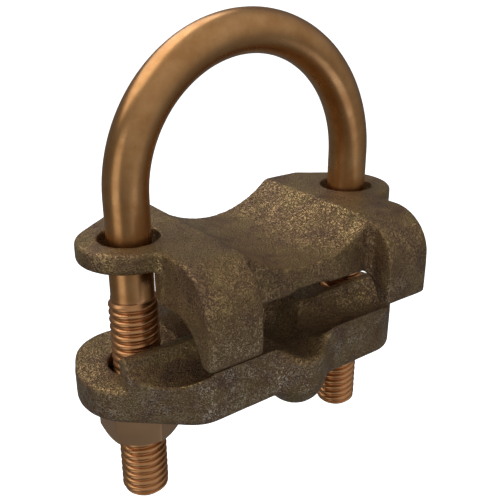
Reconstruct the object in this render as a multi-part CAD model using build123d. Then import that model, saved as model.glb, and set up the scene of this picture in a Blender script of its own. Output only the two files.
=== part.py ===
"""Earth rod clamp: a U-bolt with a saddle casting and a keeper casting, for a cable along or across the rod.

Frame, in mm: the origin is the centre of the U-bolt's arch. X runs from leg to leg, Y along the rod, Z up the legs.
The cable that crosses the rod runs along X on the -Y side. The cable along the rod runs along Y between the castings.
"""

import os

from build123d import *

# U-bolt, 3/8-16 UNC on 2 1/8 in centres
LEG_SPACING = 53.975
LEG_X = LEG_SPACING / 2
SHANK_R = 8.3 / 2
THREAD_R = 9.525 / 2
THREAD_TOP_Z = -18.7
LEG_END_Z = -63.2
THREAD_RUNOUT = 0.9
LEG_END_CHAMFER = 0.95

# Both castings
LEG_HOLE_R = 5.6
BACK_Y = 14.3
CROSS_Y = -14.0
CAST_EDGE = 0.5

# Saddle casting
SADDLE_TOP_Z = -7.1
SADDLE_EAR_R = 9.8
SADDLE_EAR_T = 3.95
SADDLE_BACK_HALF = 24.0
SADDLE_R = 22.3
SADDLE_AXIS_Z = 9.26
WEB_FRONT_Y = -19.6
WEB_UNDERSIDE_Z = -18.1
HOOK_INNER_X = 15.3
HOOK_ROOT_R = 2.0
HOOK_OUTER_X = 26.5
HOOK_FRONT_Y = -25.2
HOOK_ROUND_R = 9.2
HOOK_TIP_Z = -24.2
HOOK_GROOVE_Y = -13.5
HOOK_GROOVE_R = 9.0
HOOK_GROOVE_Z = -25.9
ARCH_R = 20.0
ARCH_TOP_Z = -17.35
LEG_POCKET_R = 10.2

# Keeper casting
KEEPER_EAR_R = 12.0
KEEPER_TOP_Z = -32.8
KEEPER_BOTTOM_Z = -39.7
KEEPER_BACK_R = 10.4
KEEPER_FRONT_HALF = 23.6
KEEPER_FRONT_Y = -18.8
KEEPER_CORNER_R = 8.0
KEEPER_FOOT_R = 1.2
RIDGE_TOP_Z = -27.0
RIDGE_BACK_Y = -6.2
RIDGE_HALF = 34.0
CROSS_GROOVE_R = 5.6
CROSS_GROOVE_Z = -25.7
BLOCK_HALF = 16.5
LONG_GROOVE_R = 7.0
LONG_GROOVE_Z = -25.0
LONG_GROOVE_LIP_R = 1.5
NOSE_Y = -15.5
NOSE_R = 6.4
NOSE_BALL_Z = -37.95
NOSE_BLEND_R = 5.0

# Hexagon nuts, 3/8-16 UNC
NUT_ACROSS_FLATS = 14.29
NUT_HEIGHT = 8.33
NUT_BORE_R = 4.83
NUT_CHAMFER_R = 7.1
NUT_CHAMFER_DROP = 0.66
NUT_TURN_DEG = {"left_nut": 29.5, "right_nut": 12.0}

FAR = 60.0
TINY = 0.01


def plate(sketch, low_z, high_z):
    """A sketch drawn on XY, as a solid between two heights."""
    return extrude(Pos(0, 0, low_z) * sketch, high_z - low_z)


def along_x(sketch_yz, half_length):
    """A sketch drawn with Y across and Z up, as a solid along X about the middle."""
    return extrude(Plane.YZ * sketch_yz, half_length, both=True)


def post(x, y, radius, low_z, high_z):
    """An upright cylinder."""
    return plate(Pos(x, y) * Circle(radius), low_z, high_z)


def bar_y(radius, z):
    """A long cylinder along Y above or below the origin."""
    return Pos(0, 0, z) * Rot(90, 0, 0) * Cylinder(radius, 2 * FAR)


def ear_outline(ear_r, others):
    """Two round ears on the legs and other edges, wrapped in one taut outline."""
    ears = [Pos(x, 0) * Circle(ear_r) for x in (-LEG_X, LEG_X)]
    return make_hull([e for shape in ears + others for e in shape.edges()])


def round_inside(sketch, radius):
    """Rounds the inside corners of an outline and leaves its outside corners."""
    return offset(offset(sketch, radius), -radius)


def round_outside(sketch, radius):
    """Rounds the outside corners of an outline and leaves its inside corners."""
    return offset(offset(sketch, -radius), radius)


def edges_at(body, z):
    """A casting's edges at one height, apart from those of a pocket round a leg."""
    edges = body.edges().filter_by_position(Axis.Z, z - TINY, z + TINY)
    middles = [(e, e.position_at(0.5)) for e in edges]
    from_pocket = [(e, Vector(abs(m.X) - LEG_X, m.Y).length - LEG_POCKET_R) for e, m in middles]
    return [e for e, gap in from_pocket if abs(gap) > TINY]


def make_u_bolt():
    """A bent bar with two upset threaded legs, their crests left plain."""
    path = Line((-LEG_X, THREAD_TOP_Z), (-LEG_X, 0)) + CenterArc((0, 0), LEG_X, 180, -180)
    path += Line((LEG_X, 0), (LEG_X, THREAD_TOP_Z))
    wire = Plane.XZ * path
    bar = sweep(Plane((-LEG_X, 0, THREAD_TOP_Z)) * Circle(SHANK_R), path=wire)
    end_r = THREAD_R - LEG_END_CHAMFER
    leg = make_face(
        Polyline(
            (0, THREAD_TOP_Z),
            (SHANK_R, THREAD_TOP_Z),
            (THREAD_R, THREAD_TOP_Z - THREAD_RUNOUT),
            (THREAD_R, LEG_END_Z + LEG_END_CHAMFER),
            (end_r, LEG_END_Z),
            (0, LEG_END_Z),
            close=True,
        )
    )
    thread = revolve(Plane.XZ * leg, Axis.Z)
    for x in (-LEG_X, LEG_X):
        bar += Pos(x, 0, 0) * thread
    return bar


def saddle_section():
    """The saddle casting's side view: flat top, rounded hook, cable groove and flat underside."""
    round_y = HOOK_FRONT_Y + HOOK_ROUND_R
    round_z = SADDLE_TOP_Z - HOOK_ROUND_R
    outer = Polyline((HOOK_FRONT_Y, round_z), (HOOK_FRONT_Y, HOOK_TIP_Z), (BACK_Y, HOOK_TIP_Z))
    outer += Line((BACK_Y, HOOK_TIP_Z), (BACK_Y, SADDLE_TOP_Z))
    outer += Line((BACK_Y, SADDLE_TOP_Z), (round_y, SADDLE_TOP_Z))
    outer += CenterArc((round_y, round_z), HOOK_ROUND_R, 90, 90)
    section = make_face(outer.edges())
    section -= Pos(HOOK_GROOVE_Y, HOOK_GROOVE_Z) * Circle(HOOK_GROOVE_R)
    behind = Pos(HOOK_GROOVE_Y + FAR / 2, WEB_UNDERSIDE_Z - FAR / 2) * Rectangle(FAR, FAR)
    return section - behind


def under_web():
    """The space between the hooks and below the web, its top corners rounded."""
    section = Pos(0, WEB_UNDERSIDE_Z - FAR / 2) * RectangleRounded(2 * HOOK_INNER_X, FAR, HOOK_ROOT_R)
    return extrude(Plane.XZ.offset(-HOOK_GROOVE_Y) * section, FAR)


def make_saddle():
    """The upper casting: rod saddle, two ears, two hooks and the web between them."""
    front = Pos(0, HOOK_FRONT_Y / 2) * Rectangle(2 * HOOK_OUTER_X, -HOOK_FRONT_Y)
    back = Line((-SADDLE_BACK_HALF, BACK_Y), (SADDLE_BACK_HALF, BACK_Y))
    outline = round_inside(ear_outline(SADDLE_EAR_R, [back]) + front, 2.0)
    recess = Pos(0, WEB_FRONT_Y - FAR / 2) * Rectangle(2 * HOOK_INNER_X, FAR)
    outline = round_inside(outline - recess, 1.5)
    body = plate(outline, HOOK_TIP_Z, SADDLE_TOP_Z) & along_x(saddle_section(), FAR)
    under_ear = SADDLE_TOP_Z - SADDLE_EAR_T
    for side in (-1, 1):
        body -= post(side * LEG_X, 0, LEG_POCKET_R, -FAR, under_ear)
        beside = Pos(side * (SADDLE_BACK_HALF + FAR / 2), FAR / 2) * Rectangle(FAR, FAR)
        body -= plate(beside, -FAR, under_ear)
    for z in (SADDLE_TOP_Z, under_ear, HOOK_TIP_Z):
        body = chamfer(edges_at(body, z), CAST_EDGE)
    for side in (-1, 1):
        body -= post(side * LEG_X, 0, LEG_HOLE_R, -FAR, 0)
    body -= bar_y(SADDLE_R, SADDLE_AXIS_Z)
    body -= under_web()
    body -= bar_y(ARCH_R, ARCH_TOP_Z - ARCH_R)
    return body


def blend_nose(body):
    """Adds the round-ended nose at the keeper's front and blends its sides into the front wall."""
    nose = post(0, NOSE_Y, NOSE_R, NOSE_BALL_Z, RIDGE_TOP_Z)
    nose += Pos(0, NOSE_Y, NOSE_BALL_Z) * Sphere(NOSE_R)
    joined = body + nose
    middles = [(e, e.position_at(0.5)) for e in joined.edges()]
    on_wall = [(e, m) for e, m in middles if abs(m.Y - KEEPER_FRONT_Y) < TINY]
    return fillet([e for e, m in on_wall if 0.1 < abs(m.X) < NOSE_R], NOSE_BLEND_R)


def round_groove_lip(body):
    """Rounds the front edge of the groove along the rod, where the cable leaves over the nose."""
    middles = [(e, e.position_at(0.5)) for e in body.edges()]
    ahead = [(e, m) for e, m in middles if m.Y < KEEPER_FRONT_Y + TINY]
    from_axis = [(e, Vector(m.X, m.Z - LONG_GROOVE_Z).length) for e, m in ahead]
    return fillet([e for e, gap in from_axis if abs(gap - LONG_GROOVE_R) < TINY], LONG_GROOVE_LIP_R)


def make_keeper():
    """The lower casting: ears, crossed cable grooves, ridge behind the cross groove and nose at the front."""
    edges = [Pos(x, BACK_Y - KEEPER_BACK_R) * Circle(KEEPER_BACK_R) for x in (-LEG_X, LEG_X)]
    edges.append(Line((-KEEPER_FRONT_HALF, KEEPER_FRONT_Y), (KEEPER_FRONT_HALF, KEEPER_FRONT_Y)))
    outline = round_outside(ear_outline(KEEPER_EAR_R, edges), KEEPER_CORNER_R)
    body = plate(outline, KEEPER_BOTTOM_Z, KEEPER_TOP_Z)
    body = fillet(edges_at(body, KEEPER_BOTTOM_Z), KEEPER_FOOT_R)
    body = chamfer(edges_at(body, KEEPER_TOP_Z), CAST_EDGE)
    front = Pos(0, RIDGE_BACK_Y - FAR / 2) * Rectangle(2 * RIDGE_HALF, FAR)
    block = Rectangle(2 * BLOCK_HALF, 2 * FAR)
    middle_z = (KEEPER_BOTTOM_Z + KEEPER_TOP_Z) / 2
    body += plate(outline & (front + block), middle_z, RIDGE_TOP_Z)
    body = blend_nose(body)
    body = chamfer(edges_at(body, RIDGE_TOP_Z), CAST_EDGE)
    body -= along_x(Pos(CROSS_Y, CROSS_GROOVE_Z) * Circle(CROSS_GROOVE_R), FAR)
    body -= bar_y(LONG_GROOVE_R, LONG_GROOVE_Z)
    body = round_groove_lip(body)
    for side in (-1, 1):
        body -= post(side * LEG_X, 0, LEG_HOLE_R, -FAR, 0)
    return body


def make_nut(turn_deg):
    """A hexagon nut, chamfered on both faces, its thread left as a plain bore."""
    blank = extrude(RegularPolygon(NUT_ACROSS_FLATS / 2, 6, major_radius=False), NUT_HEIGHT)
    corner_r = NUT_ACROSS_FLATS * 0.62
    turned = make_face(
        Polyline(
            (0, 0),
            (NUT_CHAMFER_R, 0),
            (corner_r, NUT_CHAMFER_DROP * (corner_r - NUT_CHAMFER_R)),
            (corner_r, NUT_HEIGHT - NUT_CHAMFER_DROP * (corner_r - NUT_CHAMFER_R)),
            (NUT_CHAMFER_R, NUT_HEIGHT),
            (0, NUT_HEIGHT),
            close=True,
        )
    )
    blank &= revolve(Plane.XZ * turned, Axis.Z)
    blank -= Cylinder(NUT_BORE_R, 4 * NUT_HEIGHT)
    return Rot(0, 0, turn_deg) * blank


def main():
    """Builds every piece and writes each as a STEP file."""
    pieces = {"u_bolt": make_u_bolt(), "saddle_casting": make_saddle(), "keeper_casting": make_keeper()}
    nut_z = KEEPER_BOTTOM_Z - NUT_HEIGHT
    for side, name in ((-1, "left_nut"), (1, "right_nut")):
        pieces[name] = Pos(side * LEG_X, 0, nut_z) * make_nut(NUT_TURN_DEG[name])
    os.makedirs("parts", exist_ok=True)
    for name, solid in pieces.items():
        export_step(solid, f"parts/{name}.step")


main()
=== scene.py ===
"""Looks of an earth rod clamp: a threaded U-bolt, two sand-cast bronze castings and two hexagon nuts.

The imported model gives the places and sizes. This script builds the finished surfaces on it: rolled
threads, softened and slightly uneven cast walls, broken nut edges, and the bronze finish of each piece.
"""

import logging
import math
from dataclasses import dataclass
from enum import Enum
from typing import Any

import bmesh
import bpy
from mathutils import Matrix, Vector, noise

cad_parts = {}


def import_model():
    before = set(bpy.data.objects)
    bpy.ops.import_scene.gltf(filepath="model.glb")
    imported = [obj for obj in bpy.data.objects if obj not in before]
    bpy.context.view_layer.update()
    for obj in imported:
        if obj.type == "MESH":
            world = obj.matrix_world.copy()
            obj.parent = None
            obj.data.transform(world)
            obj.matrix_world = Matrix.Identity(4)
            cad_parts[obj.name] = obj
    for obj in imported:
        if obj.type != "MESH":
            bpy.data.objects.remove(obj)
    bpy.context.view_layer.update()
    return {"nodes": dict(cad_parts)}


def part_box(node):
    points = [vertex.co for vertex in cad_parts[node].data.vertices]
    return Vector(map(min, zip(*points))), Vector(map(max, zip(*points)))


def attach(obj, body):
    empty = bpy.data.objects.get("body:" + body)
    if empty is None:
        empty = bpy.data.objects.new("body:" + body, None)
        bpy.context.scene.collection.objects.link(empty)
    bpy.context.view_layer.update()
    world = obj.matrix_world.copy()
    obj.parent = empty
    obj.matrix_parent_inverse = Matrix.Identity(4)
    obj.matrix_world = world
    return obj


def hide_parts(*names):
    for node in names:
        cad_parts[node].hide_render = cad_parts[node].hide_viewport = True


LOG = logging.getLogger("earth_rod_clamp")
MM = 0.001
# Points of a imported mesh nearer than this, in metres, are one point.
SAME_POINT = 1e-6

Place = tuple[float, float, float]
# The hooks' outer walls reach back into the pockets round the leg holes. These pads, in mm, close the
# pockets' front corners.
POCKET_PADS: tuple[tuple[Place, Place], ...] = (
    ((-26.45, -12.0, -17.0), (-22.0, -7.3, -9.0)),
    ((22.0, -12.0, -17.0), (26.45, -7.3, -9.0)),
)


def linear(hex_colour: str) -> tuple[float, float, float, float]:
    """Turns an sRGB hex colour into linear light.

    Args:
        hex_colour: Six hex digits, such as "8a6a3c".

    Returns:
        Red, green, blue and an alpha of one, as linear values.
    """
    channels = [int(hex_colour[i : i + 2], 16) / 255 for i in (0, 2, 4)]
    toe, slope, lift, power = 0.04045, 12.92, 0.055, 2.4
    light = [c / slope if c <= toe else ((c + lift) / (1 + lift)) ** power for c in channels]
    return (*light, 1.0)


def add_node(
    tree: bpy.types.NodeTree,
    kind: str,
    settings: dict[str, Any] | None = None,
    inputs: dict[Any, Any] | None = None,
) -> bpy.types.Node:
    """Adds a node with its settings and its inputs.

    Args:
        tree: The material's node tree.
        kind: The node's type, such as "ShaderNodeTexNoise".
        settings: Property names and their values.
        inputs: Socket names or numbers, each with a value or with an output socket to link from.

    Returns:
        The new node.
    """
    node = tree.nodes.new(kind)
    for name, value in (settings or {}).items():
        setattr(node, name, value)
    for name, value in (inputs or {}).items():
        if isinstance(value, bpy.types.NodeSocket):
            tree.links.new(value, node.inputs[name])
        else:
            node.inputs[name].default_value = value
    return node


def set_ramp(node: bpy.types.Node, stops: list[tuple[float, tuple[float, float, float, float]]]) -> None:
    """Gives a colour ramp its stops.

    Args:
        node: The colour ramp node, which has two stops.
        stops: Places from zero to one, each with its linear colour.
    """
    elements = node.color_ramp.elements
    while len(elements) < len(stops):
        elements.new(0.5)
    for element, (place, colour) in zip(elements, stops):
        element.position = place
        element.color = colour


def new_material(name: str) -> tuple[bpy.types.Material, bpy.types.NodeTree]:
    """Makes an empty node material.

    Args:
        name: The finish's real name.

    Returns:
        The material and its node tree.
    """
    material = bpy.data.materials.new(name)
    material.use_nodes = True
    material.node_tree.nodes.clear()
    return material, material.node_tree


def mesh_object(name: str, shape: bmesh.types.BMesh) -> bpy.types.Object:
    """Turns a bmesh into an object at the origin, smooth shaded.

    Args:
        name: The piece's name.
        shape: The bmesh, which is freed.

    Returns:
        The new object, linked to the scene.
    """
    mesh = bpy.data.meshes.new(name)
    shape.to_mesh(mesh)
    shape.free()
    mesh.shade_smooth()
    piece = bpy.data.objects.new(name, mesh)
    bpy.context.scene.collection.objects.link(piece)
    return piece


def apply_modifiers(piece: bpy.types.Object) -> None:
    """Replaces a piece's mesh by what its modifiers make, and removes them.

    Args:
        piece: A mesh object.
    """
    graph = bpy.context.evaluated_depsgraph_get()
    made = bpy.data.meshes.new_from_object(piece.evaluated_get(graph))
    piece.modifiers.clear()
    piece.data = made


def merged_copy(node: bpy.types.Object) -> bmesh.types.BMesh:
    """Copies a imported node's mesh and merges its loose triangles.

    Args:
        node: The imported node's object, which isn't changed.

    Returns:
        A bmesh with its doubles merged.
    """
    shape = bmesh.new()
    shape.from_mesh(node.data)
    bmesh.ops.remove_doubles(shape, verts=shape.verts, dist=SAME_POINT)
    return shape


def towards(azimuth_deg: float, elevation_deg: float) -> Vector:
    """Direction from the clamp to a place seen at an azimuth from -Y and an elevation.

    Args:
        azimuth_deg: Azimuth in degrees, growing towards +X.
        elevation_deg: Elevation in degrees.

    Returns:
        A unit vector.
    """
    a, e = math.radians(azimuth_deg), math.radians(elevation_deg)
    return Vector((math.sin(a) * math.cos(e), -math.cos(a) * math.cos(e), math.sin(e)))


def object_mm(tree: bpy.types.NodeTree) -> bpy.types.NodeSocket:
    """Adds object coordinates in millimetres.

    Args:
        tree: The material's node tree.

    Returns:
        Their output socket.
    """
    place = add_node(tree, "ShaderNodeTexCoord").outputs["Object"]
    scaled = add_node(tree, "ShaderNodeMapping", None, {"Vector": place, "Scale": (1 / MM,) * 3})
    return scaled.outputs["Vector"]


@dataclass(frozen=True)
class SandCastBronze:
    """Tin bronze cast in sand and left to tarnish: a brown skin grained by the sand, with smoother ridges
    that carry painted highlights.
    """

    name: str = "sand_cast_bronze"
    umber: str = "745b46"
    skin: str = "82684a"
    olive: str = "86704c"
    hollow: str = "48382a"
    # Painted highlights on the ridges: golden glints, and on the lower walls that face sideways a silver
    # painted reflection of the cool light from the front and below.
    glint_gold: str = "d6b27a"
    glint_silver: str = "cdc5b8"
    glint_silver_from_mm: float = -16.0
    glint_silver_full_mm: float = -27.0
    # A tarnished metal still mirrors its lights, softly in the hollows and more sharply on rubbed ridges.
    metallic: float = 0.85
    rough_hollow: float = 0.5
    rough_ridge: float = 0.28
    # The sand's grain as it shows on the skin, in mm: wormy ridges, with a finer grit over them.
    grain_mm: float = 0.56
    grit_mm: float = 0.34
    grit_share: float = 0.35
    relief_mm: float = 0.2
    noise_roughness: float = 0.55
    # How far the grain noise may stray from its middle and still be part of a ridge.
    ridge_width: float = 0.24
    # Sizes in mm of the patches of tarnish, and of the loose clusters that the painted glints and the
    # smoother ridges gather in.
    patch_mm: float = 8.0
    cluster_mm: float = 4.5
    cluster_weight: float = 0.3

    def build(self) -> bpy.types.Material:
        """Makes the material."""
        material, tree = new_material(self.name)
        in_mm = object_mm(tree)
        grain, grit, patches, clusters = [
            add_node(
                tree,
                "ShaderNodeTexNoise",
                None,
                {
                    "Vector": in_mm,
                    "Scale": 1 / size,
                    "Detail": detail,
                    "Roughness": self.noise_roughness,
                    "Distortion": bend,
                },
            ).outputs["Fac"]
            for size, detail, bend in (
                (self.grain_mm, 1.0, 1.1),
                (self.grit_mm, 2.0, 0.0),
                (self.patch_mm, 2.0, 1.0),
                (self.cluster_mm, 1.0, 0.5),
            )
        ]
        # Ridges stand where the grain noise crosses its middle, so they run on and branch.
        off = add_node(tree, "ShaderNodeMath", {"operation": "SUBTRACT"}, {0: grain, 1: 0.5}).outputs[0]
        apart = add_node(tree, "ShaderNodeMath", {"operation": "ABSOLUTE"}, {0: off}).outputs[0]
        ridge = add_node(
            tree,
            "ShaderNodeMapRange",
            {"interpolation_type": "SMOOTHSTEP"},
            {"Value": apart, "From Min": 0.0, "From Max": self.ridge_width, "To Min": 1.0, "To Max": 0.0},
        ).outputs["Result"]
        height = add_node(
            tree, "ShaderNodeMix", {"data_type": "FLOAT"}, {"Factor": self.grit_share, 2: ridge, 3: grit}
        ).outputs[0]
        tarnish = add_node(tree, "ShaderNodeValToRGB", None, {"Fac": patches})
        stops = [(0.38, self.umber), (0.5, self.skin), (0.64, self.olive)]
        set_ramp(tarnish, [(place, linear(colour)) for place, colour in stops])
        # A place gets a painted glint and a smoother finish where its ridge stands high and lies in a
        # cluster.
        glint_and_wear = add_node(
            tree,
            "ShaderNodeMath",
            {"operation": "MULTIPLY_ADD"},
            {0: clusters, 1: self.cluster_weight, 2: height},
        ).outputs[0]
        up = add_node(tree, "ShaderNodeSeparateXYZ", None, {"Vector": in_mm}).outputs["Z"]
        normal = add_node(tree, "ShaderNodeTexCoord").outputs["Normal"]
        facing_up = add_node(tree, "ShaderNodeSeparateXYZ", None, {"Vector": normal}).outputs["Z"]
        # Each row: what is read, where its range starts and ends, and what those two ends give.
        low_down, upright, deep, painted_glint, rough = [
            add_node(
                tree,
                "ShaderNodeMapRange",
                None,
                {"Value": value, "From Min": start, "From Max": end, "To Min": low, "To Max": high},
            ).outputs["Result"]
            for value, start, end, low, high in (
                (up, self.glint_silver_from_mm, self.glint_silver_full_mm, 0.1, 0.75),
                (facing_up, 0.6, 0.1, 0.0, 1.0),
                (height, 0.4, 0.15, 0.0, 0.22),
                (glint_and_wear, 0.88, 1.02, 0.0, 0.58),
                (glint_and_wear, 0.45, 0.98, self.rough_hollow, self.rough_ridge),
            )
        ]
        # Painted reflection: on lower walls that face sideways the glints take the silver colour of the
        # cool front light.
        silver_glint_share = add_node(
            tree, "ShaderNodeMath", {"operation": "MULTIPLY"}, {0: low_down, 1: upright}
        ).outputs[0]
        glint_colour = add_node(
            tree,
            "ShaderNodeMix",
            {"data_type": "RGBA"},
            {"Factor": silver_glint_share, 6: linear(self.glint_gold), 7: linear(self.glint_silver)},
        ).outputs[2]
        shaded = add_node(
            tree,
            "ShaderNodeMix",
            {"data_type": "RGBA"},
            {"Factor": deep, 6: tarnish.outputs["Color"], 7: linear(self.hollow)},
        ).outputs[2]
        # Painted highlights: high ridges in the clusters take the glint colour over the tarnished skin.
        colour = add_node(
            tree, "ShaderNodeMix", {"data_type": "RGBA"}, {"Factor": painted_glint, 6: shaded, 7: glint_colour}
        ).outputs[2]
        bump = add_node(
            tree,
            "ShaderNodeBump",
            None,
            {"Height": height, "Strength": 1.0, "Distance": self.relief_mm * MM},
        ).outputs["Normal"]
        shader = add_node(
            tree,
            "ShaderNodeBsdfPrincipled",
            None,
            {"Base Color": colour, "Metallic": self.metallic, "Roughness": rough, "Normal": bump},
        )
        add_node(tree, "ShaderNodeOutputMaterial", None, {"Surface": shader.outputs["BSDF"]})
        return material


@dataclass(frozen=True)
class DrawnSiliconBronze:
    """Drawn silicon bronze, bent cold and rolled: satin, copper in hue, with faint marks and blotches.

    Below the roll line it takes one even colour, as its threads and the nuts on them do.
    """

    name: str = "drawn_silicon_bronze"
    bright: str = "cd9c68"
    dull: str = "b98654"
    rolled: str = "ca9363"
    # Metal throughout. Handling dulls it in blotches, so its roughness moves about a quarter.
    metallic: float = 1.0
    rough_low: float = 0.26
    rough_high: float = 0.34
    blotch_mm: float = 4.5
    mark_mm: float = 0.3
    mark_depth_mm: float = 0.005
    mark_strength: float = 0.6
    noise_roughness: float = 0.6
    # The height below which the bar is rolled to a thread, and how far the change of colour reaches.
    rolled_below_mm: float = -18.2
    rolled_reach_mm: float = 1.0

    def build(self) -> bpy.types.Material:
        """Makes the material."""
        material, tree = new_material(self.name)
        in_mm = object_mm(tree)
        blotches, marks = [
            add_node(
                tree,
                "ShaderNodeTexNoise",
                None,
                {"Vector": in_mm, "Scale": 1 / size, "Detail": detail, "Roughness": self.noise_roughness},
            ).outputs["Fac"]
            for size, detail in ((self.blotch_mm, 5.0), (self.mark_mm, 2.0))
        ]
        spread = add_node(
            tree, "ShaderNodeMapRange", None, {"Value": blotches, "From Min": 0.35, "From Max": 0.65}
        ).outputs["Result"]
        bar = add_node(
            tree,
            "ShaderNodeMix",
            {"data_type": "RGBA"},
            {"Factor": spread, 6: linear(self.dull), 7: linear(self.bright)},
        ).outputs[2]
        up = add_node(tree, "ShaderNodeSeparateXYZ", None, {"Vector": in_mm}).outputs["Z"]
        is_rolled = add_node(
            tree,
            "ShaderNodeMapRange",
            None,
            {
                "Value": up,
                "From Min": self.rolled_below_mm,
                "From Max": self.rolled_below_mm - self.rolled_reach_mm,
            },
        ).outputs["Result"]
        colour = add_node(
            tree,
            "ShaderNodeMix",
            {"data_type": "RGBA"},
            {"Factor": is_rolled, 6: bar, 7: linear(self.rolled)},
        ).outputs[2]
        rough = add_node(
            tree,
            "ShaderNodeMapRange",
            None,
            {"Value": spread, "To Min": self.rough_high, "To Max": self.rough_low},
        ).outputs["Result"]
        bump = add_node(
            tree,
            "ShaderNodeBump",
            None,
            {"Height": marks, "Strength": self.mark_strength, "Distance": self.mark_depth_mm * MM},
        ).outputs["Normal"]
        shader = add_node(
            tree,
            "ShaderNodeBsdfPrincipled",
            None,
            {"Base Color": colour, "Metallic": self.metallic, "Roughness": rough, "Normal": bump},
        )
        add_node(tree, "ShaderNodeOutputMaterial", None, {"Surface": shader.outputs["BSDF"]})
        return material


@dataclass
class ThreadedUBolt:
    """The U-bolt: a bar bent to a half circle, with rolled 3/8-16 UNC threads. Sizes are in metres."""

    leg_x: float
    thread_r: float
    end_z: float
    shank_r: float = 4.15 * MM
    root_r: float = 3.92 * MM
    pitch: float = 25.4 / 16 * MM
    thread_top_z: float = -18.7 * MM
    end_chamfer: float = 0.95 * MM
    segments: int = 40
    arch_steps: int = 72
    profile_points: int = 12
    # Under one, this power of a sine rounds the crests out and narrows the roots.
    crest_fullness: float = 0.8
    same_point: float = 2e-6
    rim_height: float = 1e-5

    def thread_radius(self, share: float) -> float:
        """Works out the rolled thread's outline, which has full round crests and narrow roots.

        Args:
            share: How far along one pitch, from zero to one.

        Returns:
            The radius there.
        """
        wave = math.sin(math.pi * share) ** self.crest_fullness
        return self.root_r + (self.thread_r - self.root_r) * wave

    def add_leg(self, shape: bmesh.types.BMesh, x: float) -> list[bmesh.types.BMEdge]:
        """Adds one threaded leg.

        Args:
            shape: The U-bolt's bmesh.
            x: Where the leg's axis is.

        Returns:
            The edges of the open ring at the leg's top.
        """
        leg = bmesh.new()
        top = self.thread_top_z + self.pitch
        verts = []
        for i in range(self.profile_points + 1):
            share = i / self.profile_points
            verts.append(leg.verts.new((self.thread_radius(share), 0.0, top - share * self.pitch)))
        edges = [leg.edges.new(pair) for pair in zip(verts, verts[1:])]
        turns = math.ceil((top - self.end_z) / self.pitch) + 1
        bmesh.ops.spin(
            leg,
            geom=verts + edges,
            cent=(0, 0, 0),
            axis=(0, 0, 1),
            dvec=(0, 0, -self.pitch / self.segments),
            angle=-2 * math.pi * turns,
            steps=self.segments * turns,
            use_merge=False,
            use_normal_flip=False,
            use_duplicate=False,
        )
        end_r = self.thread_r - self.end_chamfer
        for v in leg.verts:
            v.co.z = min(self.thread_top_z, max(self.end_z, v.co.z))
            radius = v.co.xy.length
            run_in = min(1.0, (self.thread_top_z - v.co.z) / self.pitch)
            wanted = self.shank_r + (radius - self.shank_r) * run_in
            wanted = min(wanted, end_r + (v.co.z - self.end_z))
            v.co.x *= wanted / radius
            v.co.y *= wanted / radius
        bmesh.ops.remove_doubles(leg, verts=leg.verts, dist=self.same_point)
        bmesh.ops.dissolve_degenerate(leg, edges=leg.edges, dist=self.same_point)
        rim_top = self.end_z + self.rim_height
        rim = [e for e in leg.edges if e.is_boundary and max(v.co.z for v in e.verts) < rim_top]
        bmesh.ops.edgeloop_fill(leg, edges=rim)
        bmesh.ops.translate(leg, verts=leg.verts, vec=(x, 0, 0))
        mesh = bpy.data.meshes.new("leg")
        leg.to_mesh(mesh)
        leg.free()
        shape.from_mesh(mesh)
        bpy.data.meshes.remove(mesh)
        return [e for e in shape.edges if e.is_boundary and abs(e.verts[0].co.x - x) < 2 * self.thread_r]

    def add_arch(self, shape: bmesh.types.BMesh) -> list[list[bmesh.types.BMEdge]]:
        """Adds the half circle of bar above the legs.

        Args:
            shape: The U-bolt's bmesh.

        Returns:
            The edges of the open rings at its left and right ends.
        """
        ring = bmesh.ops.create_circle(shape, segments=self.segments, radius=self.shank_r)["verts"]
        bmesh.ops.translate(shape, verts=ring, vec=(-self.leg_x, 0, 0))
        ring_at_left = list({e for v in ring for e in v.link_edges})
        made = bmesh.ops.spin(
            shape,
            geom=ring + ring_at_left,
            cent=(0, 0, 0),
            axis=(0, 1, 0),
            angle=math.pi,
            steps=self.arch_steps,
            use_merge=False,
            use_normal_flip=False,
            use_duplicate=False,
        )
        ring_at_right = [g for g in made["geom_last"] if isinstance(g, bmesh.types.BMEdge)]
        return [ring_at_left, ring_at_right]

    def build(self, material: bpy.types.Material) -> bpy.types.Object:
        """Builds and dresses the U-bolt.

        Args:
            material: Its finish.

        Returns:
            The finished piece.
        """
        shape = bmesh.new()
        arch_rings = self.add_arch(shape)
        for x, ring in zip((-self.leg_x, self.leg_x), arch_rings):
            arch_edges = set(ring)
            leg_ring = [e for e in self.add_leg(shape, x) if e not in arch_edges]
            bmesh.ops.bridge_loops(shape, edges=ring + leg_ring)
        bmesh.ops.recalc_face_normals(shape, faces=shape.faces)
        piece = mesh_object("u_bolt_threaded", shape)
        piece.data.materials.append(material)
        return piece


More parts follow.
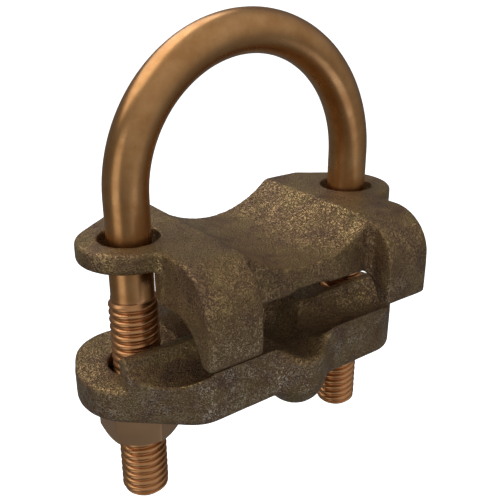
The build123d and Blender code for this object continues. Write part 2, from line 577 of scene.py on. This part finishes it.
@dataclass
class SandCasting:
    """One bronze casting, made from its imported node: softened edges and slightly uneven walls.

    Sizes are in mm. Its pads are boxes of metal cast on to the node's own shape, each given by its lowest
    and highest corners.
    """

    name: str
    voxel_mm: float = 0.36
    smooth_rounds: int = 3
    uneven_mm: float = 0.12
    swell_mm: float = 7.0
    ripple_mm: float = 1.6
    # Shares of the unevenness: its middle, then how far the swell and the ripple move it.
    middle_share: float = 0.5
    swell_share: float = 0.3
    ripple_share: float = 0.2
    # Moves the ripple's noise away from the swell's, so that the two don't line up.
    ripple_shift: Place = (7.0, 3.0, 5.0)
    pads: tuple[tuple[Place, Place], ...] = ()

    def unevenness(self, place: Vector) -> float:
        """Works out how far the wall stands from its true face, always inward.

        Args:
            place: A point on the true face, in metres.

        Returns:
            The distance along the outward normal, in metres, from minus uneven_mm to zero.
        """
        broad = noise.noise(place / (self.swell_mm * MM))
        near = noise.noise(place / (self.ripple_mm * MM) + Vector(self.ripple_shift))
        share = self.middle_share + self.swell_share * broad + self.ripple_share * near
        return -self.uneven_mm * MM * min(1.0, max(0.0, share))

    def build(self, node: bpy.types.Object, material: bpy.types.Material) -> bpy.types.Object:
        """Builds and dresses the casting.

        Args:
            node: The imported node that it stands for.
            material: Its finish.

        Returns:
            The finished piece.
        """
        raw = merged_copy(node)
        for low, high in self.pads:
            low, high = Vector(low) * MM, Vector(high) * MM
            pad = bmesh.ops.create_cube(raw, size=1.0)["verts"]
            bmesh.ops.scale(raw, verts=pad, vec=high - low)
            bmesh.ops.translate(raw, verts=pad, vec=(low + high) / 2)
        piece = mesh_object(self.name, raw)
        remesh = piece.modifiers.new("cast_skin", "REMESH")
        remesh.mode = "VOXEL"
        remesh.voxel_size = self.voxel_mm * MM
        apply_modifiers(piece)
        shape = bmesh.new()
        shape.from_mesh(piece.data)
        for _ in range(self.smooth_rounds):
            bmesh.ops.smooth_vert(
                shape, verts=shape.verts, factor=0.5, use_axis_x=True, use_axis_y=True, use_axis_z=True
            )
        shape.normal_update()
        for v in shape.verts:
            v.co += v.normal * self.unevenness(v.co)
        shape.to_mesh(piece.data)
        shape.free()
        piece.data.shade_smooth()
        piece.data.materials.append(material)
        return piece


@dataclass
class HexNut:
    """A machined hexagon nut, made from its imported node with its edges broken. Sizes are in mm."""

    name: str
    edge_mm: float = 0.16
    edge_segments: int = 2
    # Edges that turn by more than the second angle are broken. Faces within the first angle are one flat.
    flat_angle_deg: float = 1.0
    edge_angle_deg: float = 28.0

    def build(self, node: bpy.types.Object, material: bpy.types.Material) -> bpy.types.Object:
        """Builds and dresses the nut.

        Args:
            node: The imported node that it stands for.
            material: Its finish.

        Returns:
            The finished piece.
        """
        shape = merged_copy(node)
        bmesh.ops.dissolve_limit(
            shape,
            angle_limit=math.radians(self.flat_angle_deg),
            verts=shape.verts,
            edges=shape.edges,
            delimit={"NORMAL"},
        )
        piece = mesh_object(self.name, shape)
        bevel = piece.modifiers.new("broken_edges", "BEVEL")
        bevel.width = self.edge_mm * MM
        bevel.segments = self.edge_segments
        bevel.limit_method = "ANGLE"
        bevel.angle_limit = math.radians(self.edge_angle_deg)
        bevel.harden_normals = True
        apply_modifiers(piece)
        piece.data.materials.append(material)
        return piece


class LampShape(Enum):
    """Outlines of the studio's soft boxes, as Blender names them."""

    BOX = "RECTANGLE"
    ROUND = "ELLIPSE"


@dataclass(frozen=True)
class SoftBox:
    """A soft studio lamp that faces the clamp. Its azimuth is from -Y, and its sizes are in metres."""

    name: str
    shape: LampShape
    azimuth_deg: float
    elevation_deg: float
    distance: float
    width: float
    height: float
    radiance: float
    colour: str = "ffffff"

    def build(self) -> None:
        """Adds the lamp, its watts worked out from the light that each part of its face gives."""
        data = bpy.data.lights.new(self.name, "AREA")
        data.shape = self.shape.value
        data.size, data.size_y = self.width, self.height
        face = self.width * self.height * (math.pi / 4 if self.shape is LampShape.ROUND else 1.0)
        data.energy = self.radiance * math.pi * face
        data.color = linear(self.colour)[:3]
        lamp = bpy.data.objects.new(self.name, data)
        place = towards(self.azimuth_deg, self.elevation_deg)
        lamp.location = place * self.distance
        lamp.rotation_euler = (-place).to_track_quat("-Z", "Y").to_euler()
        bpy.context.scene.collection.objects.link(lamp)


SOFT_BOXES = (
    SoftBox("back_key", LampShape.BOX, -155, 55, 0.6, 0.9, 0.5, 1.7),
    SoftBox("left_fill", LampShape.BOX, -78, -6, 0.6, 0.34, 0.6, 0.75),
    SoftBox("front_low", LampShape.ROUND, 10, -32, 0.5, 0.36, 0.26, 0.85, "e4ebff"),
)


@dataclass
class Studio:
    """Camera, lamps, room light, and a pale floor and backdrop, placed in metres."""

    eye: tuple[float, float, float] = (-79.325 * MM, -106.883 * MM, 38.391 * MM)
    azimuth_deg: float = -36.70
    elevation_deg: float = 22.45
    lens_mm: float = 50.04
    sensor_mm: float = 36.0
    near_clip: float = 0.005
    far_clip: float = 20.0
    floor_drop: float = 0.16
    # Half the floor's side, and the backdrop dome's radius.
    reach: float = 4.0
    dome_segments: int = 48
    dome_rings: int = 24
    floor_glow: float = 0.9
    backdrop_glow: float = 1.0
    # The room's own light: its strongest, what is left square to that and behind, and where it comes from.
    room_front: float = 0.56
    room_back: float = 0.14
    room_azimuth_deg: float = 10.0
    room_elevation_deg: float = 50.0

    def add_camera(self) -> None:
        """Adds the camera and makes it the scene's."""
        data = bpy.data.cameras.new("camera")
        data.lens = self.lens_mm
        data.sensor_width = self.sensor_mm
        data.clip_start, data.clip_end = self.near_clip, self.far_clip
        camera = bpy.data.objects.new("camera", data)
        camera.location = self.eye
        back = towards(self.azimuth_deg, self.elevation_deg)
        camera.rotation_euler = (-back).to_track_quat("-Z", "Y").to_euler()
        bpy.context.scene.collection.objects.link(camera)
        bpy.context.scene.camera = camera

    def add_paper(self, name: str, shape: bmesh.types.BMesh, glow: float) -> None:
        """Adds a pale sheet that the camera sees, and that neither lights the clamp nor shades it.

        Args:
            name: The sheet's name.
            shape: Its bmesh, which is freed.
            glow: How strongly it shines by itself.
        """
        sheet = mesh_object(name, shape)
        material, tree = new_material(f"{name}_paper")
        shader = add_node(
            tree,
            "ShaderNodeBsdfPrincipled",
            None,
            {
                "Base Color": linear("f6f6f6"),
                "Roughness": 0.9,
                "Emission Color": linear("ffffff"),
                "Emission Strength": glow,
            },
        )
        add_node(tree, "ShaderNodeOutputMaterial", None, {"Surface": shader.outputs["BSDF"]})
        sheet.data.materials.append(material)
        sheet.visible_diffuse = False
        sheet.visible_glossy = False
        sheet.visible_shadow = False

    def add_room_light(self) -> None:
        """Adds the room's soft light, strongest from the front and above."""
        world = bpy.data.worlds.new("room")
        world.use_nodes = True
        tree = world.node_tree
        tree.nodes.clear()
        seen = add_node(tree, "ShaderNodeTexCoord").outputs["Generated"]
        window = towards(self.room_azimuth_deg, self.room_elevation_deg)
        share = add_node(
            tree, "ShaderNodeVectorMath", {"operation": "DOT_PRODUCT"}, {0: seen, 1: window}
        ).outputs["Value"]
        strength = add_node(
            tree,
            "ShaderNodeMapRange",
            {"interpolation_type": "SMOOTHSTEP"},
            {
                "Value": share,
                "From Min": 0.0,
                "From Max": 1.0,
                "To Min": self.room_back,
                "To Max": self.room_front,
            },
        ).outputs["Result"]
        background = add_node(
            tree, "ShaderNodeBackground", None, {"Color": linear("ffffff"), "Strength": strength}
        )
        add_node(tree, "ShaderNodeOutputWorld", None, {"Surface": background.outputs["Background"]})
        bpy.context.scene.world = world

    def build(self, low_z: float) -> None:
        """Builds the whole studio.

        Args:
            low_z: The clamp's lowest point, in metres.
        """
        self.add_camera()
        floor = bmesh.new()
        bmesh.ops.create_grid(floor, x_segments=1, y_segments=1, size=self.reach)
        bmesh.ops.translate(floor, verts=floor.verts, vec=(0, 0, low_z - self.floor_drop))
        self.add_paper("floor", floor, self.floor_glow)
        backdrop = bmesh.new()
        bmesh.ops.create_uvsphere(
            backdrop, u_segments=self.dome_segments, v_segments=self.dome_rings, radius=self.reach
        )
        self.add_paper("backdrop", backdrop, self.backdrop_glow)
        for box in SOFT_BOXES:
            box.build()
        self.add_room_light()
        bpy.context.scene.view_settings.view_transform = "Standard"


# The nuts are machined, not rolled, so they are paler and less smooth. They lie wholly below the roll line.
FINISHES = (
    SandCastBronze(),
    DrawnSiliconBronze(),
    DrawnSiliconBronze(name="machined_silicon_bronze", rolled="deb288", rough_low=0.3, rough_high=0.4),
)


def main() -> None:
    """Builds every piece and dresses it."""
    logging.basicConfig(level=logging.INFO, format="%(name)s: %(message)s")
    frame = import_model()
    nodes = frame["nodes"]
    low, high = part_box("u_bolt")
    thread_r = (high.y - low.y) / 2
    cast_bronze, bar_bronze, nut_bronze = [finish.build() for finish in FINISHES]

    u_bolt = ThreadedUBolt(leg_x=high.x - thread_r, thread_r=thread_r, end_z=low.z).build(bar_bronze)
    dressed = [(u_bolt, "u_bolt", "u_bolt", "u_bolt_bronze")]
    for body, node, pads in (("saddle", "saddle_casting", POCKET_PADS), ("keeper", "keeper_casting", ())):
        piece = SandCasting(f"{body}_sand_cast", pads=pads).build(nodes[node], cast_bronze)
        dressed.append((piece, node, body, "cast_bronze"))
    for node in ("left_nut", "right_nut"):
        piece = HexNut(f"{node}_machined").build(nodes[node], nut_bronze)
        dressed.append((piece, node, node, "nut_bronze"))
    for piece, node, body, slot in dressed:
        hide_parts(node)
        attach(piece, body)
        triangles = sum(len(p.vertices) - 2 for p in piece.data.polygons)
        LOG.info("%s: %d triangles on body %s", piece.name, triangles, body)

    Studio().build(low.z)


if __name__ == "__main__":
    main()
